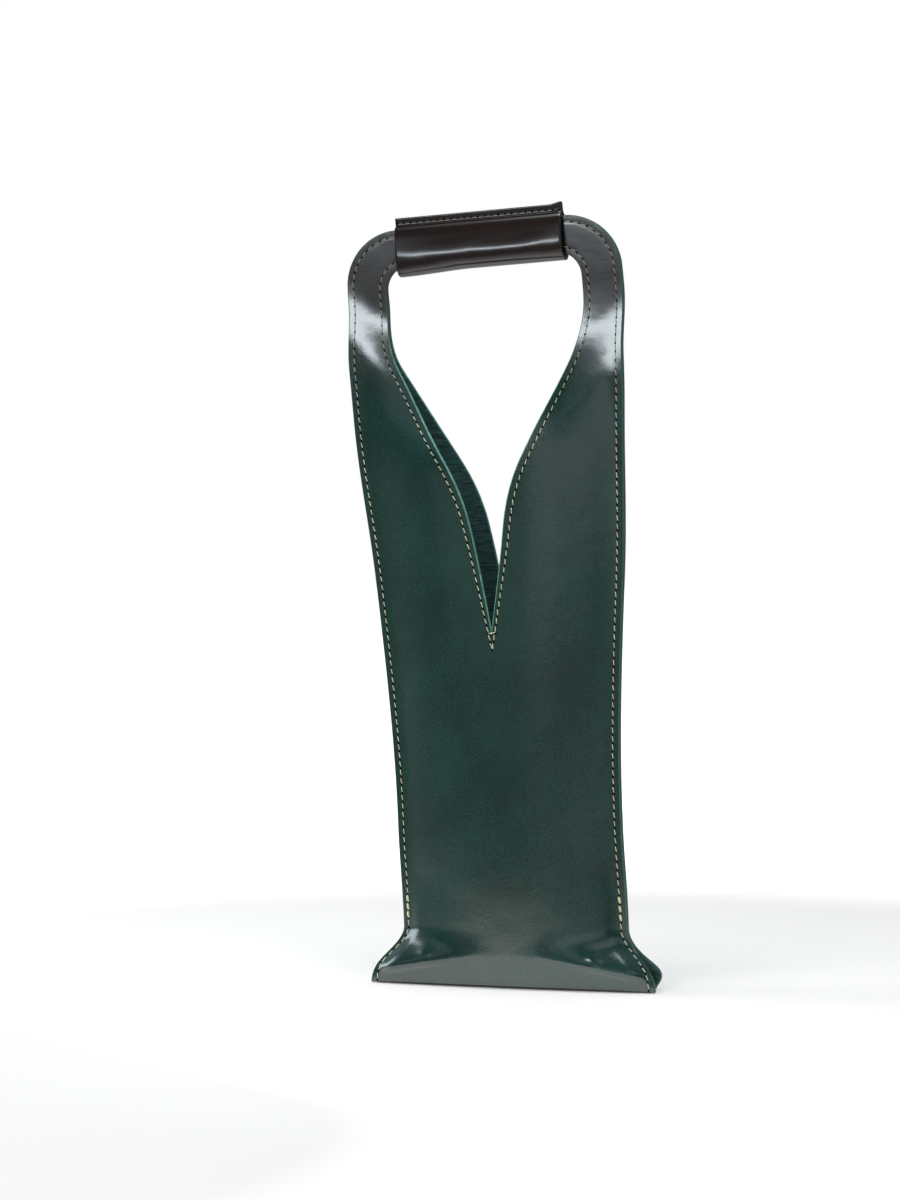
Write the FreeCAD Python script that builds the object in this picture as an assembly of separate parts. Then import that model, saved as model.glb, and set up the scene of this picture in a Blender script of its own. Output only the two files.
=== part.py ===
import FreeCAD, Part
import math
import os

# Leather carrier for one bottle: two bowed panels sewn together round their edge, a flat base, and a
# wrapped grip sleeve that slides a little on the handle bar. Millimetres, +Z up, origin on the floor
# under the middle of the base, front towards -Y.

Vector = FreeCAD.Vector

# Leather and thread
panel_leather = 2.0
base_leather = 2.4
sleeve_leather = 1.7
thread_diameter = 0.8
seam_gap = 0.2
thread_lift = 0.06
curve_lift = 0.2

# Pocket, as the leather stands when nothing is in it
pocket_half_depth = 16.0
throat_length = 104.0
handle_length = 34.0

# Panel outline, with the widths measured between the sewn edges
panel_height = 400.0
top_width = 150.0
body_width = 122.0
tip_width = 155.0
shoulder_radius = 29.0
waist_height = 90.0
strap_length = 50.0
flare_height = 37.0
seam_flange = 6.0
flange_softness = 1.0

# Open corners below the side seams
corner_height = 35.0
corner_gap = 12.0

# The panels tuck in under the pocket before they reach the base
heel_tuck = 6.0
heel_height = 16.0
strip_height = 3.0

# The whole carrier leans a little to its left
lean_angle = 2.5
lean_height = 80.0

# Opening: a slit that flares into the hand hole under the handle bar
strap_width = 21.5
bar_height = 19.0
opening_corner_radius = 12.5
opening_side = 11.0
hip_radius = 64.0
flare_angle = 27.7
throat_radius = 114.0
slit_angle = 9.2
slit_length = 57.8

# Stitching
stitch_pitch = 4.4
stitch_length = 2.8
grip_stitch_pitch = 3.6
grip_stitch_length = 2.5
edge_inset = 3.5
slit_stitch_drop = 10.5
tack_drop = 1.6
tack_length = 4.2
lock_stitches = 3
lock_thread_diameter = 1.1

# Grip sleeve
sleeve_overhang = 4.5
sleeve_travel = 1.5
sleeve_clearance = 0.3
sleeve_belly = 3.4
flange_rise = 6.0
flange_fillet = 2.0
grip_stitch_inset = 2.8

# Fineness of the panel surfaces and of the lines that the stitches follow
rows = 46
columns = 41
line_points = 120
slope_step = 0.05

strap_height = panel_height - strap_length
throat_height = panel_height - handle_length
opening_half_width = top_width / 2 - strap_width
bar_bottom = panel_height - bar_height
bar_half_thickness = panel_leather + seam_gap / 2
cutter_reach = 2 * panel_height


def smooth_step(share):
    """0 below 0, 1 above 1, and level at both ends."""
    share = min(max(share, 0.0), 1.0)
    return share * share * (3 - 2 * share)


def slow_step(share):
    """As smooth_step, with a slower start and finish."""
    share = min(max(share, 0.0), 1.0)
    return share**3 * (10 - 15 * share + 6 * share * share)


def soft_floor(value, softness):
    """The value where it is well above zero, and zero where it is well below, with a rounded corner."""
    return (value + math.sqrt(value * value + 4 * softness * softness)) / 2


def half_width(height):
    """Half the distance between the two side edges."""
    flare = 1 - smooth_step((height - strip_height) / (flare_height - strip_height))
    widen = smooth_step((height - waist_height) / (strap_height - waist_height))
    return (body_width + (tip_width - body_width) * flare + (top_width - body_width) * widen) / 2


def half_gap(height):
    """Half the gap between the panels' edges: a glue line in the seam, more in the open corners."""
    closed = smooth_step((height - strip_height) / (corner_height - strip_height))
    return seam_gap / 2 + corner_gap / 2 * (1 - closed)


def heel(height):
    """How far the middle of a panel is drawn in above the floor."""
    share = max(1 - (height - base_leather) / heel_height, 0.0)
    return heel_tuck * share * share


def pocket_depth(height):
    """How far the middle of a panel stands out past its sewn edges."""
    opened = slow_step((throat_height - height) / throat_length)
    return pocket_half_depth * opened - (half_gap(height) - seam_gap / 2) - heel(height)


def panel_depth(across, height):
    """How far the inside face of a panel stands from the middle plane: bowed between the seams, and
    flat in the seams themselves."""
    depth = max(pocket_depth(height), 0.0)
    flange = seam_flange * smooth_step((height - strip_height) / (corner_height - strip_height))
    share = across / (half_width(height) - flange)
    softness = flange_softness * depth / pocket_half_depth
    return half_gap(height) + soft_floor(depth * (1 - share * share), softness)


def leaned(x, y, z):
    """A point of the upright carrier, moved to where the lean puts it."""
    angle = math.radians(lean_angle) * smooth_step((z - base_leather) / lean_height)
    return Vector(x * math.cos(angle) - z * math.sin(angle), y, x * math.sin(angle) + z * math.cos(angle))


def lean_shape(shape):
    """A shape above the bend, leaned as a whole."""
    shape.rotate(Vector(0, 0, 0), Vector(0, 1, 0), -lean_angle)
    return shape


def inner_point(across, height):
    """A point on the front panel's inside face, before the lean."""
    return Vector(across, -panel_depth(across, height), height)


def outer_point(across, height, lift=0.0):
    """The point one leather thickness, and any lift, outside an inner point, at the same height."""
    step = slope_step
    slope_x = (panel_depth(across - step, height) - panel_depth(across + step, height)) / (2 * step)
    slope_z = (panel_depth(across, height - step) - panel_depth(across, height + step)) / (2 * step)
    reach = (panel_leather + lift) * math.sqrt(1 + slope_x**2 + slope_z**2) / (1 + slope_x**2)
    inner = inner_point(across, height)
    return Vector(inner.x + slope_x * reach, inner.y - reach, height)


def spread(count, low, high):
    """Evenly spaced values from low to high."""
    return [low + (high - low) * i / (count - 1) for i in range(count)]


def panel_sheet(point_at):
    """One face of a panel through a grid of points."""
    grid = []
    for height in spread(rows, base_leather, panel_height):
        edge = half_width(height)
        line = [point_at(across, height) for across in spread(columns, -edge, edge)]
        grid.append([leaned(p.x, p.y, p.z) for p in line])
    surface = Part.BSplineSurface()
    surface.interpolate(grid)
    return surface


def solid_between(inner, outer):
    """The closed solid between two sheets that have the same parameters."""
    low_u, high_u, low_v, high_v = inner.bounds()
    faces = [inner.toShape(), outer.toShape()]
    for edge in (low_u, high_u):
        faces.append(Part.makeRuledSurface(inner.uIso(edge).toShape(), outer.uIso(edge).toShape()))
    for edge in (low_v, high_v):
        faces.append(Part.makeRuledSurface(inner.vIso(edge).toShape(), outer.vIso(edge).toShape()))
    shell = Part.makeShell(faces)
    shell.sewShape()
    solid = Part.makeSolid(Part.Shell(shell.Faces))
    if solid.Volume < 0:
        solid.reverse()
    return solid


class Pen:
    """Draws lines and tangent arcs in the X-Z plane. A heading of 0 goes up, 90 goes to +X."""

    def __init__(self, x, z, heading):
        self.x, self.z, self.heading = x, z, heading
        self.edges = []

    def forward(self, x_step, z_step):
        start = Vector(self.x, 0, self.z)
        self.x += x_step
        self.z += z_step
        return start, Vector(self.x, 0, self.z)

    def line(self, length):
        angle = math.radians(self.heading)
        start, end = self.forward(length * math.sin(angle), length * math.cos(angle))
        self.edges.append(Part.LineSegment(start, end).toShape())

    def arc(self, radius, turn):
        """Turns clockwise for a positive turn, and anticlockwise for a negative one."""
        side = math.copysign(90, turn)
        to_centre = math.radians(self.heading + side)
        centre_x = self.x + radius * math.sin(to_centre)
        centre_z = self.z + radius * math.cos(to_centre)

        def on_arc(share):
            back = math.radians(self.heading + turn * share - side)
            return Vector(centre_x + radius * math.sin(back), 0, centre_z + radius * math.cos(back))

        start, middle, end = on_arc(0), on_arc(0.5), on_arc(1)
        self.edges.append(Part.Arc(start, middle, end).toShape())
        self.x, self.z = end.x, end.z
        self.heading += turn


def opening_edge(inset=0.0):
    """The right half of the opening's edge, from the middle of the handle bar down to the slit's foot,
    moved into the leather by the inset."""
    corner = opening_corner_radius + inset
    flare, slit = math.radians(flare_angle), math.radians(slit_angle)
    hip, throat = hip_radius + inset, throat_radius - inset
    hip_run = hip_radius * (1 - math.cos(flare))
    throat_run = throat_radius * (math.cos(slit) - math.cos(flare))
    slit_run = slit_length * math.sin(slit)
    flare_length = (opening_half_width - hip_run - throat_run - slit_run) / math.sin(flare)
    pen = Pen(0, bar_bottom + inset, 90)
    pen.line(opening_half_width - opening_corner_radius)
    pen.arc(corner, 90)
    pen.line(opening_side)
    pen.arc(hip, flare_angle)
    pen.line(flare_length)
    pen.arc(throat, slit_angle - flare_angle)
    return pen


def slit_foot():
    """Height of the lowest point of the opening."""
    pen = opening_edge()
    pen.line(slit_length)
    return pen.z


def opening_cutter():
    """A prism through both panels in the shape of the opening."""
    pen = opening_edge()
    pen.line(slit_length)
    right = Part.Wire(pen.edges)
    left = right.mirror(Vector(0, 0, 0), Vector(1, 0, 0))
    outline = Part.Wire(Part.__sortEdges__(right.Edges + left.Edges))
    prism = Part.Face(outline).extrude(Vector(0, 2 * cutter_reach, 0))
    prism.translate(Vector(0, -cutter_reach, 0))
    return lean_shape(prism)


def shoulder_cutter(side):
    """What is cut away to round one shoulder of the panels."""
    centre_x, centre_z = top_width / 2 - shoulder_radius, panel_height - shoulder_radius
    block = Part.makeBox(2 * shoulder_radius, 2 * cutter_reach, 2 * shoulder_radius,
                         Vector(centre_x, -cutter_reach, centre_z))
    round_part = Part.makeCylinder(shoulder_radius, 2 * cutter_reach,
                                   Vector(centre_x, -cutter_reach, centre_z), Vector(0, 1, 0))
    cutter = block.cut(round_part).Solids[0]
    if side < 0:
        cutter = cutter.mirror(Vector(0, 0, 0), Vector(1, 0, 0))
    return lean_shape(cutter)


def make_front_panel():
    panel = solid_between(panel_sheet(inner_point), panel_sheet(outer_point))
    panel = panel.cut([shoulder_cutter(-1), shoulder_cutter(1), opening_cutter()])
    return panel.Solids[0]


def behind(shape):
    """The same shape on the back of the carrier."""
    return shape.mirror(Vector(0, 0, 0), Vector(0, 1, 0))


def make_base_panel():
    """A flat plate under the panels, with their outline at the floor."""
    edge = half_width(base_leather)
    front = [outer_point(across, base_leather) for across in spread(columns, -edge, edge)]
    back = [Vector(p.x, -p.y, p.z) for p in front]
    curves = []
    for line in (front, back):
        curve = Part.BSplineCurve()
        curve.interpolate(line)
        curves.append(curve.toShape())
    for end in (0, -1):
        curves.append(Part.LineSegment(front[end], back[end]).toShape())
    outline = Part.Wire(Part.__sortEdges__(curves))
    return Part.Face(outline).extrude(Vector(0, 0, -base_leather))


def lower_corner_drop():
    """How far the bar's lower edge falls away under a sleeve end at the end of its travel."""
    past = sleeve_overhang + sleeve_travel
    return opening_corner_radius - math.sqrt(opening_corner_radius**2 - past**2)


def sleeve_half_length():
    return opening_half_width - opening_corner_radius + sleeve_overhang


def drop_face(upper, upper_z, lower, lower_z):
    """A face in the Y-Z plane round two circles and the lines that touch both."""
    lean_out = math.asin((lower - upper) / (upper_z - lower_z))
    sine, cosine = math.sin(lean_out), math.cos(lean_out)

    def point(radius, centre_z, y_share, z_share):
        return Vector(0, radius * y_share, centre_z + radius * z_share)

    upper_left = point(upper, upper_z, -cosine, sine)
    upper_right = point(upper, upper_z, cosine, sine)
    lower_left = point(lower, lower_z, -cosine, sine)
    lower_right = point(lower, lower_z, cosine, sine)
    edges = [
        Part.Arc(upper_left, point(upper, upper_z, 0, 1), upper_right).toShape(),
        Part.LineSegment(upper_right, lower_right).toShape(),
        Part.Arc(lower_right, point(lower, lower_z, 0, -1), lower_left).toShape(),
        Part.LineSegment(lower_left, upper_left).toShape(),
    ]
    return Part.Face(Part.Wire(edges))


def make_grip_sleeve():
    """One strip of leather wrapped round both handle bars, its two edges standing up as a flange."""
    upper = bar_half_thickness + thread_lift + thread_diameter + sleeve_clearance
    lower = upper + sleeve_belly
    upper_z = panel_height + sleeve_clearance - math.sqrt(upper**2 - bar_half_thickness**2)
    lower_z = (bar_bottom - lower_corner_drop() - sleeve_clearance
               + math.sqrt(lower**2 - bar_half_thickness**2))
    length = 2 * sleeve_half_length()
    along = Vector(length, 0, 0)
    hollow = drop_face(upper, upper_z, lower, lower_z).extrude(along)
    wrap = drop_face(upper + sleeve_leather, upper_z, lower + sleeve_leather, lower_z).extrude(along)
    flange_half = seam_gap / 2 + sleeve_leather
    flange_top = panel_height + flange_rise
    flange = Part.makeBox(length, 2 * flange_half, flange_top - upper_z, Vector(0, -flange_half, upper_z))
    slit = Part.makeBox(length, seam_gap, flange_top - upper_z, Vector(0, -seam_gap / 2, upper_z))
    sleeve = wrap.fuse(flange).removeSplitter()
    roots = [edge for edge in sleeve.Edges if is_flange_root(edge, flange_half, flange_top)]
    sleeve = sleeve.makeFillet(flange_fillet, roots).cut(hollow).cut(slit)
    sleeve.translate(Vector(-length / 2, 0, 0))
    return lean_shape(sleeve.Solids[0])


def is_flange_root(edge, flange_half, flange_top):
    """Whether an edge runs along the sleeve where the flange leaves the round of the wrap."""
    middle = edge.CenterOfMass
    runs_along = edge.BoundBox.XLength > edge.BoundBox.ZLength + edge.BoundBox.YLength
    on_side = abs(abs(middle.y) - flange_half) < seam_gap / 4
    return runs_along and on_side and middle.z < flange_top - seam_gap


def on_front(x, z):
    """A point on the front panel's outside face where a thread's middle lies, and the way out of it."""
    lift = thread_lift + thread_diameter / 2
    point, deeper = outer_point(x, z, lift), outer_point(x, z)
    middle, root = leaned(point.x, point.y, point.z), leaned(deeper.x, deeper.y, deeper.z)
    return middle, middle.sub(root).normalize()


def stitch(start, end, diameter):
    """One visible length of thread."""
    run = end.sub(start)
    return Part.makeCylinder(diameter / 2, run.Length, start, run)


def sew(points, pitch, length, diameter=thread_diameter, count=None):
    """Stitches at an even pitch along a line of points in space, with the spare length shared out."""
    lengths = [0.0]
    for before, after in zip(points, points[1:]):
        lengths.append(lengths[-1] + after.sub(before).Length)

    def at(distance):
        for i in range(1, len(points)):
            if lengths[i] >= distance:
                share = (distance - lengths[i - 1]) / (lengths[i] - lengths[i - 1])
                return points[i - 1].add(points[i].sub(points[i - 1]).multiply(share))
        return points[-1]

    number = count or max(1, int(lengths[-1] / pitch))
    step = lengths[-1] / number
    made = []
    for i in range(number):
        middle = (i + 0.5) * step
        made.append(stitch(at(middle - length / 2), at(middle + length / 2), diameter))
    return made


def front_and_back(solids):
    return Part.makeCompound(solids + [behind(solid) for solid in solids])


def side_line(low, high):
    """The stitch line inside the right side edge, between two heights."""
    return [(half_width(z) - edge_inset, z) for z in spread(line_points, low, high)]


def shoulder_line():
    """The stitch line round the right shoulder, from the side to the top."""
    centre_x, centre_z = top_width / 2 - shoulder_radius, panel_height - shoulder_radius
    radius = shoulder_radius - edge_inset
    angles = spread(line_points, 0, math.pi / 2)
    return [(centre_x + radius * math.cos(a), centre_z + radius * math.sin(a)) for a in angles]


def lifted(line, side=1, spare=0.0):
    """A line drawn on the upright panel, put on the front panel's outside face or a little off it."""
    points = []
    for x, z in line:
        middle, out = on_front(side * x, z)
        points.append(middle.add(out.multiply(spare)))
    return points


lock_top = corner_height + lock_stitches * stitch_pitch


def make_side_seam(side):
    line = side_line(lock_top, panel_height - shoulder_radius) + shoulder_line()[1:]
    return front_and_back(sew(lifted(line, side), stitch_pitch, stitch_length))


def make_top_seam():
    reach = top_width / 2 - shoulder_radius
    line = [(x, panel_height - edge_inset) for x in spread(line_points, -reach, reach)]
    return front_and_back(sew(lifted(line), stitch_pitch, stitch_length))


def make_seam_lock(side):
    """The thicker back-stitches that end a side seam."""
    line = side_line(corner_height, lock_top)
    spare = (lock_thread_diameter - thread_diameter) / 2 + curve_lift
    points = lifted(line, side, spare)
    return front_and_back(sew(points, stitch_pitch, stitch_length, lock_thread_diameter, lock_stitches))


def make_corner_thread(side):
    """The edge stitching of the two free corners below a side seam."""
    line = side_line(base_leather + thread_diameter, corner_height)
    return front_and_back(sew(lifted(line, side, curve_lift), stitch_pitch, stitch_length))


def opening_stitch_line():
    """The stitch line round the right half of the opening, from the bar down past the slit's foot."""
    pen = opening_edge(edge_inset)
    line = [(p.x, p.z) for p in Part.Wire(pen.edges).discretize(Number=line_points)]
    line.append((0.0, slit_foot() - slit_stitch_drop))
    spaced = [line[0]]
    for x, z in line[1:]:
        last_x, last_z = spaced[-1]
        pieces = max(1, int(math.hypot(x - last_x, z - last_z)))
        spaced += [(last_x + (x - last_x) * i / pieces, last_z + (z - last_z) * i / pieces)
                   for i in range(1, pieces + 1)]
    return spaced


def make_opening_thread():
    line = opening_stitch_line()
    return [solid for side in (-1, 1) for solid in sew(lifted(line, side), stitch_pitch, stitch_length)]


def make_bar_tack():
    """The short stitch across the foot of the slit, lying over the two lines beside it."""
    height = slit_foot() - tack_drop
    points = [on_front(x, height)[0] for x in (-tack_length / 2, tack_length / 2)]
    return [stitch(points[0], points[1], thread_diameter)]


def make_grip_thread():
    """The seam that closes the sleeve, on both faces of its flange."""
    out = seam_gap / 2 + sleeve_leather + thread_lift + thread_diameter / 2
    height = panel_height + flange_rise - grip_stitch_inset
    reach = sleeve_half_length() - grip_stitch_length / 2
    points = [Vector(x, -out, height) for x in (-reach, reach)]
    return lean_shape(front_and_back(sew(points, grip_stitch_pitch, grip_stitch_length)))


def build():
    front_panel = make_front_panel()
    opening_thread = make_opening_thread()
    bar_tack = make_bar_tack()
    nodes = {
        "front_panel": front_panel,
        "back_panel": behind(front_panel),
        "base_panel": make_base_panel(),
        "grip_sleeve": make_grip_sleeve(),
        "grip_seam_thread": make_grip_thread(),
        "top_seam_thread": make_top_seam(),
        "front_opening_thread": Part.makeCompound(opening_thread),
        "back_opening_thread": Part.makeCompound([behind(solid) for solid in opening_thread]),
        "front_bar_tack": Part.makeCompound(bar_tack),
        "back_bar_tack": Part.makeCompound([behind(solid) for solid in bar_tack]),
    }
    for name, side in (("left", -1), ("right", 1)):
        nodes[name + "_side_seam_thread"] = make_side_seam(side)
        nodes[name + "_seam_lock"] = make_seam_lock(side)
        nodes[name + "_corner_thread"] = make_corner_thread(side)
    return nodes


os.makedirs("parts", exist_ok=True)
for node, shape in build().items():
    shape.exportStep(os.path.join("parts", node + ".step"))
    box = shape.BoundBox
    print(f"{node}: {len(shape.Solids)} solids, {shape.Volume:.0f} mm3, valid {shape.isValid()}, "
          f"x {box.XMin:.1f} {box.XMax:.1f}, y {box.YMin:.1f} {box.YMax:.1f}, z {box.ZMin:.1f} {box.ZMax:.1f}")
print(f"slit foot at {slit_foot():.1f} mm, sleeve {2 * sleeve_half_length():.1f} mm long")
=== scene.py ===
import math
import bmesh
import bpy
from mathutils import Matrix, Vector, geometry, noise


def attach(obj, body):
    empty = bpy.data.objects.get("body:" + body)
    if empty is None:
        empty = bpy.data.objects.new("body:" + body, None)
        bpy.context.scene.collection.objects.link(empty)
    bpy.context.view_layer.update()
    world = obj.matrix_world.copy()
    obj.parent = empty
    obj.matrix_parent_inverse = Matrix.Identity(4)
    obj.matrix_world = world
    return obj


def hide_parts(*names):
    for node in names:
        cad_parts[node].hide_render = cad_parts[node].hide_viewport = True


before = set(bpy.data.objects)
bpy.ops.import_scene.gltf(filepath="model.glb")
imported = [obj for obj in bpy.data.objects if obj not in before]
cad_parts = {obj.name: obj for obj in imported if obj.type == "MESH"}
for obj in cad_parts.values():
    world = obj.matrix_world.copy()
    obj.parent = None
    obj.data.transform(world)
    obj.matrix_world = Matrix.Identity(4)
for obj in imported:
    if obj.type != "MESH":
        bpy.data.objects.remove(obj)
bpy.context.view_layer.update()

mm = 0.001
print("frame loaded:", len(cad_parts), "nodes")

# Sizes of the leather in mm; its faces lie within 4 mm of the solids
carrier = {
    "leather": 2.0, "baseLeather": 2.4, "seamGap": 0.2, "bevel": 0.45,
    "halfDepth": 16.0, "throat": 104.0, "throatTop": 366.0,
    "height": 400.0, "topHalf": 75.0, "bodyHalf": 61.0, "tipHalf": 77.5,
    "shoulderRadius": 29.0, "waist": 90.0, "strap": 350.0, "flare": 31.0,
    "flange": 6.0, "flangeSoft": 1.0,
    "corner": 35.0, "cornerOpen": 25.0, "cornerGap": 12.0,
    "tuck": 6.0, "tuckHeight": 16.0, "strip": 3.0,
    "lap": 1.1, "lapTip": 0.9, "lapHeight": 9.6,
    "lean": 2.5, "leanHeight": 80.0,
}
mouth = {
    "strapWidth": 21.5, "barHeight": 19.0, "cornerRadius": 12.5, "side": 13.5,
    "hipRadius": 64.0, "flareAngle": 27.7, "throatRadius": 114.0, "slitAngle": 9.2, "slitLength": 54.1,
}  # mm and degrees
# Each lower corner leans out over a flat foot strip and a flat middle, along a line that turns between them, mm
footFold = {
    "tip": 77.5, "low": 4.8, "slope": 0.155, "column": 10.5, "turn": 13.5, "sharp": 2.5,
    "roll": 4.2, "rollStart": 0.6, "top": 31.0, "topSlope": 0.95, "topMost": 56.0, "fadeOut": 25.0,
    "tilt": 0.075, "soft": 3.0, "rim": 2.0, "rimFade": 9.0,
    "inner": 0.05, "innerFrom": 8.0, "innerFade": 56.0,
    "pinch": 0.6, "pinchX": 46.0, "pinchZ": 15.5, "pinchSpread": 3.4,
}
# The straps sway left and curve back a little below the handle, which hangs forward and left, mm and degrees
handleSet = {
    "from": 293.0, "back": 2.0, "low": 313.0, "high": 351.0,
    "inside": 40.0, "across": 65.0, "slant": 0.8, "level": 0.25,
    "bend": 357.0, "soft": 4.0, "forward": 2.5, "turnFrom": 290.0, "turnTo": 375.0, "turn": 1.6,
    "sway": 2.6, "swayFrom": 215.0, "swayFull": 300.0, "swayBack": 328.0, "swayEnd": 362.0,
}
# The back sheet's free corners roll outwards and tuck in at the floor, mm
cornerRoll = {"out": 1.8, "outAt": 11.0, "outSpread": 6.0, "in": 4.0, "inSpread": 4.0, "reach": 16.0}
# Slow hand-worn unevenness, mm, that dies away at the edges, the foot and the handle
waves = {
    "across": 38.0, "along": 110.0, "depth": 0.5, "edgeFade": 14.0, "apart": 5.0,
    "footFrom": 20.0, "footFade": 40.0, "topStop": 10.0, "topFade": 60.0,
}


def smoothStep(share):
    share = min(max(share, 0.0), 1.0)
    return share * share * (3 - 2 * share)


def slowStep(share):
    share = min(max(share, 0.0), 1.0)
    return share ** 3 * (10 - 15 * share + 6 * share * share)


def softFloor(value, softness):
    return (value + math.sqrt(value * value + 4 * softness * softness)) / 2


def halfWidth(z):
    c = carrier
    flared = 1 - smoothStep((z - c["strip"]) / (c["flare"] - c["strip"]))
    widened = smoothStep((z - c["waist"]) / (c["strap"] - c["waist"]))
    return c["bodyHalf"] + (c["tipHalf"] - c["bodyHalf"]) * flared + (c["topHalf"] - c["bodyHalf"]) * widened


def cornerClosed(z):
    return smoothStep((z - carrier["strip"]) / (carrier["cornerOpen"] - carrier["strip"]))


def halfGap(z):
    return carrier["seamGap"] / 2 + carrier["cornerGap"] / 2 * (1 - cornerClosed(z))


def pocketDepth(z):
    c = carrier
    opened = slowStep((c["throatTop"] - z) / c["throat"])
    tuck = c["tuck"] * max(1 - (z - c["baseLeather"]) / c["tuckHeight"], 0.0) ** 2
    return max(c["halfDepth"] * opened - (halfGap(z) - c["seamGap"] / 2) - tuck, 0.0)


def foldDepth(x, z):
    f = footFold
    if z > f["topMost"] + f["fadeOut"]:
        return 0.0
    out = abs(x)
    hem = f["low"] + f["slope"] * (f["tip"] - out)  # top of the foot strip
    up = z - hem - f["turn"] * math.exp(min(-(out - f["column"]) / f["sharp"], 9.0))
    side = out - f["column"] + f["sharp"] * math.log(max(z - hem, 0.02) / f["turn"])
    above = math.copysign(abs(up * side) / max(math.hypot(up, side), 1e-6), up)  # from the turning line
    top = min(f["top"] + f["topSlope"] * max(out - f["column"], 0.0), f["topMost"])
    rim = smoothStep((halfWidth(z) - out - f["rim"]) / f["rimFade"])
    inner = f["inner"] + (1 - f["inner"]) * smoothStep((out - f["innerFrom"]) / f["innerFade"])
    rolled = smoothStep((above + f["rollStart"]) / f["roll"])
    apart = (out - f["pinchX"]) ** 2 + (z - f["pinchZ"]) ** 2
    pinch = f["pinch"] * math.exp(-apart / f["pinchSpread"] ** 2)
    return f["tilt"] * softFloor(top - z, f["soft"]) * rolled * (rim * inner) + pinch


def waveDepth(x, z, face):
    w = waves
    edge = smoothStep((halfWidth(z) - abs(x) - carrier["flange"]) / w["edgeFade"])
    low = smoothStep((z - w["footFrom"]) / w["footFade"])
    high = smoothStep((carrier["strap"] - w["topStop"] - z) / w["topFade"])
    spot = Vector((x / w["across"], z / w["along"], w["apart"] * face))
    return w["depth"] * edge * (low * high) * noise.noise(spot)


def panelDepth(x, z, face):
    c = carrier
    depth = pocketDepth(z)
    share = x / (halfWidth(z) - c["flange"] * cornerClosed(z))
    bowed = softFloor(depth * (1 - share * share), c["flangeSoft"] * depth / c["halfDepth"])
    return halfGap(z) + bowed + foldDepth(x, z) + waveDepth(x, z, face)


def leaned(x, y, z):
    c, h = carrier, handleSet
    angle = math.radians(c["lean"]) * smoothStep((z - c["baseLeather"]) / c["leanHeight"])
    sine, cosine = math.sin(angle), math.cos(angle)
    if z > h["swayFrom"]:
        x -= (h["sway"] * smoothStep((z - h["swayFrom"]) / (h["swayFull"] - h["swayFrom"]))
              * smoothStep((h["swayEnd"] - z) / (h["swayEnd"] - h["swayBack"])))
    if z > h["from"]:
        slanted = z - h["slant"] * (max(abs(x), h["inside"]) - h["across"]) + h["level"] * min(x, 0.0)
        backward = h["back"] * smoothStep((slanted - h["low"]) / (h["high"] - h["low"]))
        y += backward - softFloor(z - h["bend"], h["soft"]) * math.tan(math.radians(h["forward"]))
        turn = math.radians(h["turn"]) * smoothStep((z - h["turnFrom"]) / (h["turnTo"] - h["turnFrom"]))
        up, turnSine, turnCosine = z - h["turnFrom"], math.sin(turn), math.cos(turn)
        x, z = x * turnCosine - up * turnSine, h["turnFrom"] + x * turnSine + up * turnCosine
    fullLap = c["lap"] + c["lapTip"] * abs(x / c["tipHalf"]) ** 3
    lap = fullLap * (1 - smoothStep((z - c["baseLeather"]) / c["lapHeight"]))
    return Vector((x * cosine - z * sine, y, x * sine + z * cosine - lap)) * mm


def cornerShift(x, z, face):
    k = cornerRoll
    if face < 0 or z > carrier["corner"]:
        return 0.0
    near = smoothStep((abs(x) - halfWidth(z) + k["reach"]) / k["reach"])
    outward = k["out"] * math.exp(-((z - k["outAt"]) / k["outSpread"]) ** 2)
    inward = k["in"] * math.exp(-((z - carrier["baseLeather"]) / k["inSpread"]) ** 2)
    return math.copysign(near, x) * (outward - inward)


def onPanel(x, z, face, lift=0.0):  # outside of a panel, face -1 is the front and 1 the back
    step = 0.05
    slopeX = (panelDepth(x - step, z, face) - panelDepth(x + step, z, face)) / (2 * step)
    slopeZ = (panelDepth(x, z - step, face) - panelDepth(x, z + step, face)) / (2 * step)
    reach = (carrier["leather"] + lift) * math.sqrt(1 + slopeX ** 2 + slopeZ ** 2) / (1 + slopeX ** 2)
    shift = slopeX * reach + cornerShift(x, z, face)
    return leaned(x + shift, face * (panelDepth(x, z, face) + reach), z)


# The mouth's edge: a slit, a throat curve, a flare, a hip curve and an upright side
mouthHalf = carrier["topHalf"] - mouth["strapWidth"]
barBottom = carrier["height"] - mouth["barHeight"]
cornerZ = barBottom - mouth["cornerRadius"]
flareTurn, slitTurn = math.radians(mouth["flareAngle"]), math.radians(mouth["slitAngle"])
hipZ = cornerZ - mouth["side"]
hipEndX = mouthHalf - mouth["hipRadius"] * (1 - math.cos(flareTurn))
hipEndZ = hipZ - mouth["hipRadius"] * math.sin(flareTurn)
slitTopX = mouth["slitLength"] * math.sin(slitTurn)
throatTopX = slitTopX + mouth["throatRadius"] * (math.cos(slitTurn) - math.cos(flareTurn))
throatTopZ = hipEndZ - (hipEndX - throatTopX) / math.tan(flareTurn)
slitTopZ = throatTopZ - mouth["throatRadius"] * (math.sin(flareTurn) - math.sin(slitTurn))
slitFoot = slitTopZ - mouth["slitLength"] * math.cos(slitTurn)


def mouthEdge(z):
    if z <= slitTopZ:
        return max((z - slitFoot) * math.tan(slitTurn), 0.0)
    if z <= throatTopZ:
        turn = math.asin(math.sin(flareTurn) - (throatTopZ - z) / mouth["throatRadius"])
        return throatTopX - mouth["throatRadius"] * (math.cos(turn) - math.cos(flareTurn))
    if z <= hipEndZ:
        return hipEndX - (hipEndZ - z) * math.tan(flareTurn)
    if z <= hipZ:
        turn = math.asin((hipZ - z) / mouth["hipRadius"])
        return mouthHalf - mouth["hipRadius"] * (1 - math.cos(turn))
    return mouthHalf


def spread(low, high, step):
    count = max(1, round((high - low) / step))
    return [low + (high - low) * i / count for i in range(count + 1)]


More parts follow.
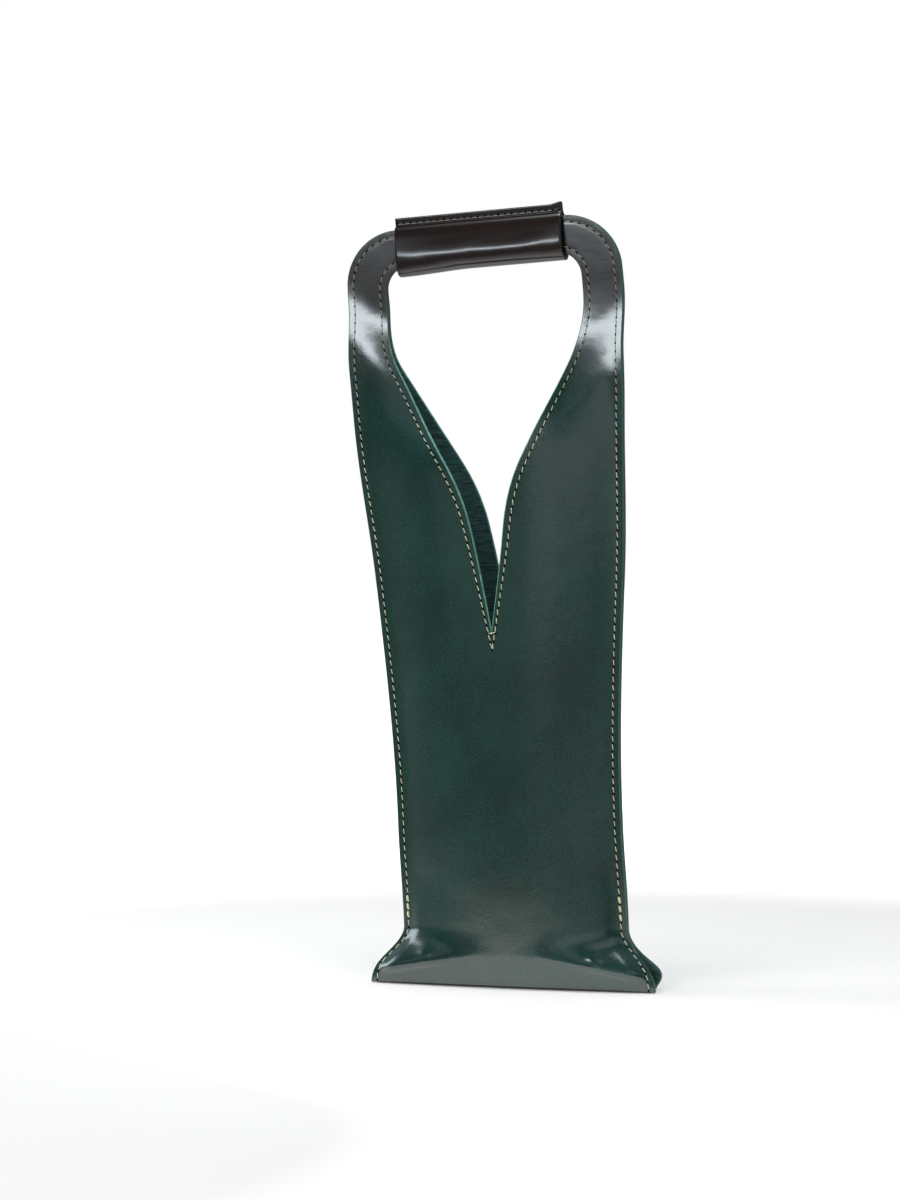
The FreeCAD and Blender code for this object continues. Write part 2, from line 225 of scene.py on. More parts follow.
# Steps between the sheet's rows, mm and radians, and the rows along half the bar
rowSteps = {"footTop": 52.0, "foot": 1.1, "body": 2.8, "strap": 2.5, "turn": 0.11, "bar": 14}


def panelRows():  # pairs of ends (x, z), from the base up one strap and along the bar to its middle
    step = rowSteps
    heights = spread(carrier["baseLeather"], step["footTop"], step["foot"])
    heights += spread(step["footTop"], slitFoot, step["body"])[1:]
    rows = [((0.0, z), (halfWidth(z), z)) for z in heights]
    rows += [((mouthEdge(z), z), (halfWidth(z), z)) for z in spread(slitFoot, cornerZ, step["strap"])[1:]]
    inRadius, outRadius = mouth["cornerRadius"], carrier["shoulderRadius"]
    inX, outX, outZ = mouthHalf - inRadius, carrier["topHalf"] - outRadius, carrier["height"] - outRadius
    for turn in spread(0, math.pi / 2, step["turn"])[1:]:
        sine, cosine = math.sin(turn), math.cos(turn)
        inner = (inX + inRadius * cosine, cornerZ + inRadius * sine)
        rows.append((inner, (outX + outRadius * cosine, outZ + outRadius * sine)))
    along = spread(0, 1, 1 / step["bar"])[-2::-1]
    return rows + [((inX * s, barBottom), (outX * s, carrier["height"])) for s in along]


# Columns beside each edge, mm, with one on the stitch line
edgeSteps = [0.0, 0.6, 1.6, 2.5, 3.5, 4.5, 5.5, 7.5]
middleColumns = 36
groove = {"inset": 3.5, "depth": 0.05, "width": 0.75}  # pressed line that the stitches lie in, mm


def acrossRow(row):
    (inX, inZ), (outX, outZ) = row
    length = math.hypot(outX - inX, outZ - inZ)
    rest = length - 2 * edgeSteps[-1]
    middle = [edgeSteps[-1] + rest * i / middleColumns for i in range(1, middleColumns)]
    stops = edgeSteps + middle + [length - s for s in reversed(edgeSteps)]
    return [(inX + (outX - inX) * s / length, inZ + (outZ - inZ) * s / length, s, length - s) for s in stops]


def grooveDepth(fromMouth, fromEdge, z):
    pressed = math.exp(-((fromEdge - groove["inset"]) / groove["width"]) ** 2)
    if z > slitFoot:
        pressed += math.exp(-((fromMouth - groove["inset"]) / groove["width"]) ** 2)
    return groove["depth"] * pressed


def srgb(code):
    parts = [int(code[i:i + 2], 16) / 255 for i in (1, 3, 5)]
    return [p / 12.92 if p <= 0.04045 else ((p + 0.055) / 1.055) ** 2.4 for p in parts] + [1.0]


def addNode(tree, kind, inputs=(), feeds=(), stops=(), **settings):  # feeds: (socket, other node, its output)
    node = tree.nodes.new(kind)
    for key, value in settings.items():
        setattr(node, key, value)
    for socket, value in dict(inputs).items():
        node.inputs[socket].default_value = value
    for socket, other, output in feeds:
        tree.links.new(other.outputs[output], node.inputs[socket])
    for i, (place, code) in enumerate(stops):  # colours along a ramp
        element = node.color_ramp.elements[i] if i < 2 else node.color_ramp.elements.new(place)
        element.position, element.color = place, srgb(code)
    return node


def newMaterial(name):
    made = bpy.data.materials.new(name)
    made.use_nodes = True
    tree = made.node_tree
    tree.nodes.clear()
    shader = addNode(tree, "ShaderNodeBsdfPrincipled")
    addNode(tree, "ShaderNodeOutputMaterial", feeds=[("Surface", shader, "BSDF")])
    return made, tree, shader


# Glazed vegetable-tanned leather: dyed deep green, turning brown-black towards the handle
def glazedGreenLeather():
    made, tree, shader = newMaterial("glazedGreenLeather")
    where = addNode(tree, "ShaderNodeTexCoord")
    clouds = addNode(tree, "ShaderNodeTexNoise", {"Scale": 1 / (38 * mm), "Detail": 5.0, "Roughness": 0.6},
                     [("Vector", where, "Object")])  # 38 mm dye clouds
    tone = addNode(tree, "ShaderNodeValToRGB", feeds=[("Fac", clouds, "Fac")],
                   stops=[(0.3, "#0a2a24"), (0.7, "#133c34")])
    split = addNode(tree, "ShaderNodeSeparateXYZ", feeds=[("Vector", where, "Object")])
    rise = addNode(tree, "ShaderNodeMapRange", {"From Min": 290 * mm, "From Max": 372 * mm},
                   [("Value", split, "Z")], interpolation_type="SMOOTHSTEP")
    dark = addNode(tree, "ShaderNodeMix", {7: srgb("#1c1716")},
                   [("Factor", rise, "Result"), (6, tone, "Color")], data_type="RGBA")
    pores = addNode(tree, "ShaderNodeTexNoise", {"Scale": 1 / (1.0 * mm), "Detail": 3.0, "Roughness": 0.65},
                    [("Vector", where, "Object")])  # hair pores, drawn at 1 mm to show
    mottle = addNode(tree, "ShaderNodeMapRange",
                     {"From Min": 0.3, "From Max": 0.7, "To Min": 0.74, "To Max": 1.26},
                     [("Value", pores, "Fac")])
    dyed = addNode(tree, "ShaderNodeMix", {0: 1.0}, [(6, dark, 2), (7, mottle, "Result")],
                   data_type="RGBA", blend_type="MULTIPLY")  # dye sits deeper in the pores
    tree.links.new(dyed.outputs[2], shader.inputs["Base Color"])
    swell = addNode(tree, "ShaderNodeTexNoise", {"Scale": 1 / (14 * mm), "Detail": 2.0},
                    [("Vector", where, "Object")])  # 14 mm fullness of the hide
    squeezed = addNode(tree, "ShaderNodeMapping", {"Scale": (1 / (7 * mm), 1 / (7 * mm), 1 / (1.1 * mm))},
                       [("Vector", where, "Object")])
    creases = addNode(tree, "ShaderNodeTexNoise", {"Scale": 1.0, "Detail": 2.0},
                      [("Vector", squeezed, "Vector")])
    worn = addNode(tree, "ShaderNodeMath", feeds=[(0, creases, "Fac"), (1, rise, "Result")],
                   operation="MULTIPLY")  # fine level creases, 1.1 mm apart, where the straps bend in the hand
    rubbed = addNode(tree, "ShaderNodeMapRange", {"To Min": 0.17, "To Max": 0.03},
                     [("Value", rise, "Result")])  # rubbed smooth by hands higher up
    grain = addNode(tree, "ShaderNodeBump", {"Distance": 0.25 * mm},
                    [("Height", pores, "Fac"), ("Strength", rubbed, "Result")])
    folded = addNode(tree, "ShaderNodeBump", {"Strength": 0.045, "Distance": 0.3 * mm},
                     [("Height", worn, "Value"), ("Normal", grain, "Normal")])
    soft = addNode(tree, "ShaderNodeBump", {"Strength": 0.15, "Distance": 0.8 * mm},
                   [("Height", swell, "Fac"), ("Normal", folded, "Normal")])
    tree.links.new(soft.outputs["Normal"], shader.inputs["Normal"])
    tree.links.new(soft.outputs["Normal"], shader.inputs["Coat Normal"])
    polish = addNode(tree, "ShaderNodeMapRange", {"To Min": 0.19, "To Max": 0.31},
                     [("Value", pores, "Fac")])
    tree.links.new(polish.outputs["Result"], shader.inputs["Roughness"])
    shader.inputs["Specular IOR Level"].default_value = 0.25
    shader.inputs["Coat Weight"].default_value = 1.0
    shader.inputs["Coat Roughness"].default_value = 0.13
    return made


# Flesh side of a hide: split fibres, dull and darker, with a short nap
def fleshSideSuede(name, deep, pale):
    made, tree, shader = newMaterial(name)
    where = addNode(tree, "ShaderNodeTexCoord")
    combed = addNode(tree, "ShaderNodeMapping", {"Scale": (1 / (7 * mm), 1 / (7 * mm), 1 / (0.9 * mm))},
                     [("Vector", where, "Object")])
    nap = addNode(tree, "ShaderNodeTexNoise", {"Scale": 1.0, "Detail": 5.0, "Roughness": 0.65},
                  [("Vector", combed, "Vector")])  # level streaks of fibre, drawn 0.9 mm apart
    tone = addNode(tree, "ShaderNodeValToRGB", feeds=[("Fac", nap, "Fac")],
                   stops=[(0.34, deep), (0.68, pale)])
    tree.links.new(tone.outputs["Color"], shader.inputs["Base Color"])
    fibres = addNode(tree, "ShaderNodeBump", {"Strength": 0.5, "Distance": 0.4 * mm},
                     [("Height", nap, "Fac")])
    tree.links.new(fibres.outputs["Normal"], shader.inputs["Normal"])
    shader.inputs["Roughness"].default_value = 0.9
    shader.inputs["Sheen Weight"].default_value = 0.25
    return made


# Knife-cut edge, dyed through or burnished: dull, coloured apart at the handle and sides, with painted shade
# making it near-black at the floor
def cutEdgeLeather(name, deep, pale, top, side):
    made, tree, shader = newMaterial(name)
    where = addNode(tree, "ShaderNodeTexCoord")
    fibres = addNode(tree, "ShaderNodeTexNoise", {"Scale": 1 / (3 * mm), "Detail": 4.0},
                     [("Vector", where, "Object")])  # 3 mm patches of dye
    tone = addNode(tree, "ShaderNodeValToRGB", feeds=[("Fac", fibres, "Fac")],
                   stops=[(0.3, deep), (0.7, pale)])
    split = addNode(tree, "ShaderNodeSeparateXYZ", feeds=[("Vector", where, "Object")])
    rise = addNode(tree, "ShaderNodeMapRange", {"From Min": 318 * mm, "From Max": 360 * mm},
                   [("Value", split, "Z")], interpolation_type="SMOOTHSTEP")
    handled = addNode(tree, "ShaderNodeMix", {7: srgb(top)},
                      [("Factor", rise, "Result"), (6, tone, "Color")], data_type="RGBA")
    clear = addNode(tree, "ShaderNodeMapRange", {"From Min": 1.6 * mm, "From Max": 2.4 * mm},
                    [("Value", split, "Z")])
    upright = addNode(tree, "ShaderNodeMath", {1: math.tan(math.radians(carrier["lean"]))},
                      [(0, split, "Z"), (2, split, "X")], operation="MULTIPLY_ADD")  # the lean taken out
    aside = addNode(tree, "ShaderNodeMath", feeds=[(0, upright, "Value")], operation="ABSOLUTE")
    outer = addNode(tree, "ShaderNodeMapRange", {"From Min": 54 * mm, "From Max": 58 * mm},
                    [("Value", aside, "Value")])
    rubbed = addNode(tree, "ShaderNodeMix", {7: srgb(side)}, [("Factor", outer, "Result"), (6, handled, 2)],
                     data_type="RGBA")  # the side edges are rubbed darker than the mouth's
    # painted shade: the edges turn near-black below 1.6 to 2.4 mm, where they meet the floor
    paintedFloorShade = addNode(tree, "ShaderNodeMix", {6: srgb("#0a100e")}, [("Factor", clear, "Result"), (7, rubbed, 2)],
                    data_type="RGBA")
    tree.links.new(paintedFloorShade.outputs[2], shader.inputs["Base Color"])
    shader.inputs["Roughness"].default_value = 0.6
    return made


# Glazed brown calf of the grip, thinner and glossier than the panels
def glazedBrownCalf():
    made, tree, shader = newMaterial("glazedBrownCalf")
    where = addNode(tree, "ShaderNodeTexCoord")
    clouds = addNode(tree, "ShaderNodeTexNoise", {"Scale": 1 / (22 * mm), "Detail": 4.0},
                     [("Vector", where, "Object")])  # 22 mm rub marks
    tone = addNode(tree, "ShaderNodeValToRGB", feeds=[("Fac", clouds, "Fac")],
                   stops=[(0.3, "#170d0a"), (0.7, "#221511")])
    tree.links.new(tone.outputs["Color"], shader.inputs["Base Color"])
    pores = addNode(tree, "ShaderNodeTexNoise", {"Scale": 1 / (1.6 * mm), "Detail": 3.0},
                    [("Vector", where, "Object")])  # drawn at 1.6 mm to show
    grain = addNode(tree, "ShaderNodeBump", {"Strength": 0.05, "Distance": 0.2 * mm},
                    [("Height", pores, "Fac")])
    tree.links.new(grain.outputs["Normal"], shader.inputs["Normal"])
    tree.links.new(grain.outputs["Normal"], shader.inputs["Coat Normal"])
    shader.inputs["Roughness"].default_value = 0.4
    shader.inputs["Specular IOR Level"].default_value = 0.03
    shader.inputs["Coat Weight"].default_value = 1.0
    shader.inputs["Coat Roughness"].default_value = 0.19
    return made


# Waxed linen thread: two plies, slightly shiny, tarnished olive near the handle
def waxedThread(name, low, high):
    made, tree, shader = newMaterial(name)
    where = addNode(tree, "ShaderNodeTexCoord")
    split = addNode(tree, "ShaderNodeSeparateXYZ", feeds=[("Vector", where, "Object")])
    rise = addNode(tree, "ShaderNodeMapRange", {"From Min": 270 * mm, "From Max": 345 * mm},
                   [("Value", split, "Z")], interpolation_type="SMOOTHSTEP")
    fuzz = addNode(tree, "ShaderNodeTexNoise", {"Scale": 1 / (0.9 * mm), "Detail": 2.0},
                   [("Vector", where, "Object")])  # ply marks, 0.9 mm
    worn = addNode(tree, "ShaderNodeMix", {6: srgb(low), 7: srgb(high)}, [("Factor", rise, "Result")],
                   data_type="RGBA")
    shade = addNode(tree, "ShaderNodeMix", {0: 0.25}, [(6, worn, 2), (7, fuzz, "Color")],
                    data_type="RGBA", blend_type="MULTIPLY")
    tree.links.new(shade.outputs[2], shader.inputs["Base Color"])
    shader.inputs["Roughness"].default_value = 0.55
    return made


# Needle hole: a near-black disc laid over the leather, painted shade of the pushed-in hole
def needleHoleShade():
    made, tree, shader = newMaterial("needleHoleShade")
    where = addNode(tree, "ShaderNodeTexCoord")
    fuzz = addNode(tree, "ShaderNodeTexNoise", {"Scale": 1 / (2 * mm)}, [("Vector", where, "Object")])
    tone = addNode(tree, "ShaderNodeValToRGB", feeds=[("Fac", fuzz, "Fac")],
                   stops=[(0.3, "#020303"), (0.7, "#070b09")])
    tree.links.new(tone.outputs["Color"], shader.inputs["Base Color"])
    shader.inputs["Roughness"].default_value = 0.8
    shader.inputs["Specular IOR Level"].default_value = 0.0
    return made


greenLeather = glazedGreenLeather()
suede = fleshSideSuede("greenFleshSuede", "#082523", "#41706a")
brownSuede = fleshSideSuede("brownFleshSuede", "#0c0806", "#2a1d17")
cutEdge = cutEdgeLeather("cutEdgeLeather", "#4d8672", "#7fb5a3", "#3a3432", "#34594f")
# base edge near-black: partly a burnished edge, partly painted shade of the gap under the panels
baseEdgeAndShade = cutEdgeLeather("burnishedBaseEdgeAndPaintedShade", "#070a09", "#101513", "#101513", "#101513")
calfEdge = cutEdgeLeather("burnishedCalfEdge", "#120c0a", "#1c1411", "#1c1411", "#1c1411")
brownCalf = glazedBrownCalf()
strawThread = waxedThread("waxedStrawThread", "#fbf2c4", "#a8a27c")
goldThread = waxedThread("waxedGoldThread", "#5e4923", "#5e4923")
paintedHoleShade = needleHoleShade()
print("materials made")


def newPiece(name, bm, materials, body, nodes):
    data = bpy.data.meshes.new(name)
    bm.to_mesh(data)
    bm.free()
    piece = bpy.data.objects.new(name, data)
    bpy.context.collection.objects.link(piece)
    for made in materials:
        data.materials.append(made)
    data.shade_smooth()
    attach(piece, body)
    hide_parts(*nodes)
    return piece


roundedEdge = {"segments": 2, "angle": 50}


def addThickness(piece, thickness, bevel):  # flesh side is slot 1 and the cut rim slot 2
    wall = piece.modifiers.new("thickness", "SOLIDIFY")
    wall.thickness = thickness * mm
    wall.offset = -1
    wall.use_even_offset = True
    wall.material_offset = 1
    wall.material_offset_rim = 2
    edge = piece.modifiers.new("roundedEdge", "BEVEL")
    edge.width = bevel * mm
    edge.segments = roundedEdge["segments"]
    edge.material = 2
    edge.limit_method = "ANGLE"
    edge.angle_limit = math.radians(roundedEdge["angle"])
    edge.harden_normals = False


def closeSheet(bm, outward):  # joins the halves and turns the sheet's faces outwards
    bmesh.ops.remove_doubles(bm, verts=bm.verts, dist=0.01 * mm)
    bmesh.ops.recalc_face_normals(bm, faces=bm.faces)
    bm.normal_update()
    if sum(f.normal.dot(outward) * f.calc_area() for f in bm.faces) < 0:
        bmesh.ops.reverse_faces(bm, faces=bm.faces)


def gridSheet(bm, columns, lines, place):
    made = bmesh.ops.create_grid(bm, x_segments=columns, y_segments=lines, size=1)
    for vert in made["verts"]:
        column = round((vert.co.x + 1) / 2 * columns)
        line = round((vert.co.y + 1) / 2 * lines)
        vert.co = place(column, line)


def makePanel(name, face, node):
    rows = [acrossRow(row) for row in panelRows()]
    bm = bmesh.new()
    for side in (-1, 1):
        def place(column, line):
            x, z, fromMouth, fromEdge = rows[line][column]
            return onPanel(side * x, z, face, -grooveDepth(fromMouth, fromEdge, z))
        gridSheet(bm, len(rows[0]) - 1, len(rows) - 1, place)
    closeSheet(bm, Vector((0, face, 0)))
    area = sum(f.calc_area() for f in bm.faces)
    piece = newPiece(name, bm, [greenLeather, suede, cutEdge], "carrier", [node])
    addThickness(piece, carrier["leather"], carrier["bevel"])


makePanel("frontPanelLeather", -1, "front_panel")
makePanel("backPanelLeather", 1, "back_panel")
print("panels made")


# Set in from the panels' outsides, which lap over its edge, mm
base = {"columns": 60, "lines": 16, "bevel": 0.4, "inset": 2.3, "sample": 4.0}


def makeBase():
    top = carrier["baseLeather"]
    tip = halfWidth(top)
    bm = bmesh.new()

    def place(column, line):
        x = (tip - base["inset"]) * (2 * column / base["columns"] - 1)
        front, back = (onPanel(x, top, face, -base["inset"]) for face in (-1, 1))
        point = front.lerp(back, line / base["lines"])
        return Vector((point.x, point.y, top * mm))
    gridSheet(bm, base["columns"], base["lines"], place)
    closeSheet(bm, Vector((0, 0, 1)))
    area = sum(f.calc_area() for f in bm.faces)
    piece = newPiece("baseLeather", bm, [suede, greenLeather, baseEdgeAndShade], "carrier",
                     ["base_panel"])
    addThickness(piece, top, base["bevel"])
    reach = max(abs(onPanel(x, top, -1).y) for x in spread(-tip, tip, base["sample"]))


makeBase()
print("base made")


# Sleeve in mm; hang, horn and pinch act along it, from -1 at the left end to 1 at the right
grip = {
    "leather": 1.7, "bevel": 0.3, "top": 406.0, "rise": 6.0, "overhang": 4.5, "columns": 60, "flangeRows": 5,
    "belly": 20.0, "pinch": 0.14, "uneven": 0.35, "unevenSize": (2.2, 9.0, 14.0), "middle": 6.0,
    "hang": 1.6, "hangFrom": 0.1, "hangFade": 0.9, "horn": 1.2, "hornFrom": 0.85, "hornFade": 0.15, "nod": 0.11,
}
gripCurves = (  # outside of the wrap in mm (depth, height): flange root, shoulder, belly and underside
    ((1.8, 402.8), (1.8, 401.2), (3.6, 401.6), (4.6, 399.8), 8),
    ((4.6, 399.8), (5.2, 398.7), (5.9, 396.6), (6.4, 394.5), 7),
    ((6.4, 394.5), (7.3, 390.7), (8.5, 387.3), (8.1, 384.0), 14),
    ((8.1, 384.0), (7.5, 379.6), (4.2, 376.8), (0.0, 376.8), 16),
)


rootY, rootZ = gripCurves[0][0]


def gripProfile():  # from the flange's top down to the lowest point
    rows, fall = grip["flangeRows"], rootZ - grip["top"]
    points = [Vector((rootY, grip["top"] + fall * i / rows)) for i in range(rows + 1)]
    for start, leave, arrive, end, count in gripCurves:
        points += geometry.interpolate_bezier(start, leave, arrive, end, count)[1:]
    return [(point[0], point[1]) for point in points]


gripHalf = mouthHalf - mouth["cornerRadius"] + grip["overhang"]


def makeGrip():
    half = gripProfile()
    whole = half + [(-y, z) for y, z in reversed(half[:-1])]
    bm = bmesh.new()

    def place(column, line):
        g = grip
        along = 2 * column / g["columns"] - 1
        y, z = whole[line]
        low = smoothStep((carrier["height"] - z) / g["belly"])
        runs, deep, tall = g["unevenSize"]
        uneven = g["uneven"] * low * noise.noise(Vector((along * runs, y / deep, z / tall)))
        full = 1 - g["pinch"] * along ** 4 * low  # drawn in at the ends
        hang = g["hang"] * low * smoothStep((-along - g["hangFrom"]) / g["hangFade"])  # left end hangs lower
        raised = smoothStep((z - carrier["height"]) / g["rise"])
        horn = g["horn"] * smoothStep((along - g["hornFrom"]) / g["hornFade"]) * raised
        nod = g["nod"] * max(z - rootZ, 0.0)  # the flange leans a little forward
        return leaned(along * gripHalf, y * full + math.copysign(uneven, y) - nod, z - hang + horn)
    gridSheet(bm, grip["columns"], len(whole) - 1, place)
    closeSheet(bm, Vector((0, 0, -1)))
    centre = leaned(0, 0, barBottom + grip["middle"])
    if sum(f.normal.dot(f.calc_center_median() - centre) for f in bm.faces) < 0:
        bmesh.ops.reverse_faces(bm, faces=bm.faces)
    area = sum(f.calc_area() for f in bm.faces)
    piece = newPiece("gripSleeveLeather", bm, [brownCalf, brownSuede, calfEdge], "grip",
                     ["grip_sleeve"])
    addThickness(piece, grip["leather"], grip["bevel"])


makeGrip()
print("grip made")


# Stitches in mm, their slant in degrees; raised, flat and dive are shares of the thread
seam = {
    "pitch": 4.4, "length": 3.1, "thread": 0.46, "inset": 3.5, "lift": 0.1, "slant": 9.0,
    "raised": 0.3, "flat": 0.45, "dive": 0.9, "hole": (0.75, 0.52, 0.16), "holeLift": 0.11,
    "footStart": 1.0, "lockCount": 3, "lockThread": 1.3, "lockExtra": 0.6,
    "slitDrop": 10.5, "tackDrop": 1.6, "tackLength": 4.2, "tackThick": 1.15,
    "gripPitch": 3.6, "gripLength": 2.6, "gripInset": 2.8, "gripEnd": 1.0,
}
# Steps between the points of a sewing line: mm, radians at the shoulder and the corner, share of the slit
lineSteps = {"side": 2.0, "bar": 3.0, "shoulder": 0.05, "corner": 0.1, "slit": 0.03}


def patternShape(name, kind, index, shape):  # a small mesh that is made once and set down many times
    bm = bmesh.new()
    if kind == "thread":
        bmesh.ops.create_uvsphere(bm, u_segments=8, v_segments=7, radius=1)
        bmesh.ops.rotate(bm, verts=bm.verts, matrix=Matrix.Rotation(math.radians(90), 3, "Y"))
    else:
        bmesh.ops.create_icosphere(bm, subdivisions=1, radius=1)
    for vert in bm.verts:
        vert.co = shape(vert.co)
    for face in bm.faces:
        face.material_index = index
        face.smooth = True
    data = bpy.data.meshes.new(name)
    bm.to_mesh(data)
    bm.free()
    return data


def archedThread(co):  # fuller than an ellipsoid, with ends that dive into their holes
    full = math.sqrt(max(1 - co.x ** 4, 0.0)) / max(math.sqrt(max(1 - co.x ** 2, 0.0)), 0.2)
    return Vector((co.x, co.y * full, co.z * full - seam["dive"] * co.x ** 2))


stitchShape = patternShape("stitchShape", "thread", 0, archedThread)
holeShape = patternShape("holeShape", "hole", 1, lambda co: co)


def setDown(bm, shape, middle, along, out, size):
    across = out.cross(along).normalized()
    turn = Matrix((along, across, along.cross(across))).transposed().to_4x4()
    first = len(bm.verts)
    bm.from_mesh(shape)
    bm.verts.ensure_lookup_table()
    place = Matrix.Translation(middle) @ turn @ Matrix.Diagonal((*size, 1))
    bmesh.ops.transform(bm, matrix=place, verts=bm.verts[first:])


def sew(bm, line, pitch, length, thick, count=None):  # line: (point on the leather, way out)
    marks = [0.0]
    for (a, _), (b, _) in zip(line, line[1:]):
        marks.append(marks[-1] + (b - a).length / mm)

    def at(distance):
        distance = min(max(distance, 0.0), marks[-1])
        i = next(i for i in range(1, len(marks)) if marks[i] >= distance - 1e-9)
        share = (distance - marks[i - 1]) / (marks[i] - marks[i - 1])
        return line[i - 1][0].lerp(line[i][0], share), line[i - 1][1].lerp(line[i][1], share).normalized()

    number = count or max(1, int(marks[-1] / pitch))
    step = marks[-1] / number
    for i in range(number):
        middle = (i + 0.5) * step
        start, out = at(middle - length / 2)
        end, _ = at(middle + length / 2)
        run = end - start
        along = Matrix.Rotation(math.radians(seam["slant"]), 3, out) @ run.normalized()
        rise = out * (seam["lift"] + thick * seam["raised"]) * mm
        setDown(bm, stitchShape, (start + end) / 2 + rise, along, out,
                (run.length / 2, thick * mm / 2, thick * mm * seam["flat"]))
        for spot in [middle - step / 2] + [middle + step / 2] * (i == number - 1):
            hole, away = at(spot)
            sizes = [size * mm for size in seam["hole"]]
            setDown(bm, holeShape, hole + away * seam["holeLift"] * mm, along, away, sizes)


def onLeather(line, face):
    pairs = []
    for x, z in line:
        root = onPanel(x, z, face, -groove["depth"])
        pairs.append((root, (onPanel(x, z, face, 1.0) - root).normalized()))
    return pairs


def sideLine(low, high, side):
    return [(side * (halfWidth(z) - seam["inset"]), z) for z in spread(low, high, lineSteps["side"])]


def shoulderLine(side):
    x, z = carrier["topHalf"] - carrier["shoulderRadius"], carrier["height"] - carrier["shoulderRadius"]
    radius = carrier["shoulderRadius"] - seam["inset"]
    turns = spread(0, math.pi / 2, lineSteps["shoulder"])
    return [(side * (x + radius * math.cos(t)), z + radius * math.sin(t)) for t in turns]


lockTop = carrier["corner"] + seam["lockCount"] * seam["pitch"]


def mouthLine(side):
    inset = seam["inset"]
    inX = mouthHalf - mouth["cornerRadius"]
    radius = mouth["cornerRadius"] + inset
    line = [(x, barBottom + inset) for x in spread(0, inX, lineSteps["side"])]
    turns = spread(0, math.pi / 2, lineSteps["corner"])[1:]
    line += [(inX + radius * math.sin(t), cornerZ + radius * math.cos(t)) for t in turns]
    for z in spread(slitTopZ, cornerZ, lineSteps["side"])[-2::-1]:
        step = 0.5
        slope = (mouthEdge(z + step) - mouthEdge(z - step)) / (2 * step)
        size = math.hypot(1, slope)
        line.append((mouthEdge(z) + inset / size, z - inset * slope / size))
    lastX, lastZ = line[-1]
    footZ = slitFoot - seam["slitDrop"]
    shares = spread(0, 1, lineSteps["slit"])[1:]
    line += [(lastX * (1 - s), lastZ + (footZ - lastZ) * s) for s in shares]
    return [(side * x, z) for x, z in line]


def sewPiece(name, node, lines, thread=strawThread, body="carrier"):
    bm = bmesh.new()
    for line, pitch, length, thick, count in lines:
        sew(bm, line, pitch, length, thick, count)
    newPiece(name, bm, [thread, paintedHoleShade], body, [node])


plain = (seam["pitch"], seam["length"], seam["thread"], None)
for word, side in (("left", -1), ("right", 1)):
    up = sideLine(lockTop, carrier["height"] - carrier["shoulderRadius"], side) + shoulderLine(side)[1:]
    sewPiece(word + "SideStitches", word + "_side_seam_thread", [(onLeather(up, f), *plain) for f in (-1, 1)])
    lock = sideLine(carrier["corner"], lockTop, side)
    bold = (seam["pitch"], seam["length"] + seam["lockExtra"], seam["lockThread"], seam["lockCount"])
    sewPiece(word + "SeamLock", word + "_seam_lock", [(onLeather(lock, f), *bold) for f in (-1, 1)])
    low = sideLine(carrier["baseLeather"] + seam["footStart"], carrier["corner"], side)
    sewPiece(word + "CornerStitches", word + "_corner_thread", [(onLeather(low, f), *plain) for f in (-1, 1)])
barReach = carrier["topHalf"] - carrier["shoulderRadius"]
barLine = [(x, carrier["height"] - seam["inset"]) for x in spread(-barReach, barReach, lineSteps["bar"])]
sewPiece("topBarStitches", "top_seam_thread", [(onLeather(barLine, f), *plain) for f in (-1, 1)])
for word, face in (("front", -1), ("back", 1)):
    sewPiece(word + "MouthStitches", word + "_opening_thread",
             [(onLeather(mouthLine(side), face), *plain) for side in (-1, 1)])
    half = seam["tackLength"] / 2
    tackLine = [(x, slitFoot - seam["tackDrop"]) for x in (-half, 0, half)]
    cross = (seam["pitch"], seam["tackLength"], seam["thread"] * seam["tackThick"], 1)
    sewPiece(word + "BarTack", word + "_bar_tack", [(onLeather(tackLine, face), *cross)])
flangeOut = carrier["seamGap"] / 2 + grip["leather"]
flangeZ = carrier["height"] + grip["rise"] - seam["gripInset"]
gripLines = []
for face in (-1, 1):
    flangeY = face * flangeOut - grip["nod"] * max(flangeZ - rootZ, 0.0)
    places = spread(-gripHalf + seam["gripEnd"], gripHalf - seam["gripEnd"], lineSteps["bar"])
    run = [(leaned(x, flangeY, flangeZ), Vector((0, face, 0))) for x in places]
    gripLines.append((run, seam["gripPitch"], seam["gripLength"], seam["thread"], None))
sewPiece("gripStitches", "grip_seam_thread", gripLines, goldThread, "grip")
print("stitches made")


# White studio paper, in metres: it ends in front, is white to the eye far off and bright in the foot's gloss
floor = {
    "size": 6.0, "sides": 96, "color": "#fbf0ea", "far": "#303030", "slant": 0.8, "front": 0.3, "end": 0.65,
    "near": 0.4, "away": 0.75, "lift": 0.15, "endLift": 0.9,
    "mirrorLift": 1.1, "mirrorNear": 0.13, "mirrorAway": 0.3, "mirrorFar": 0.2,
}


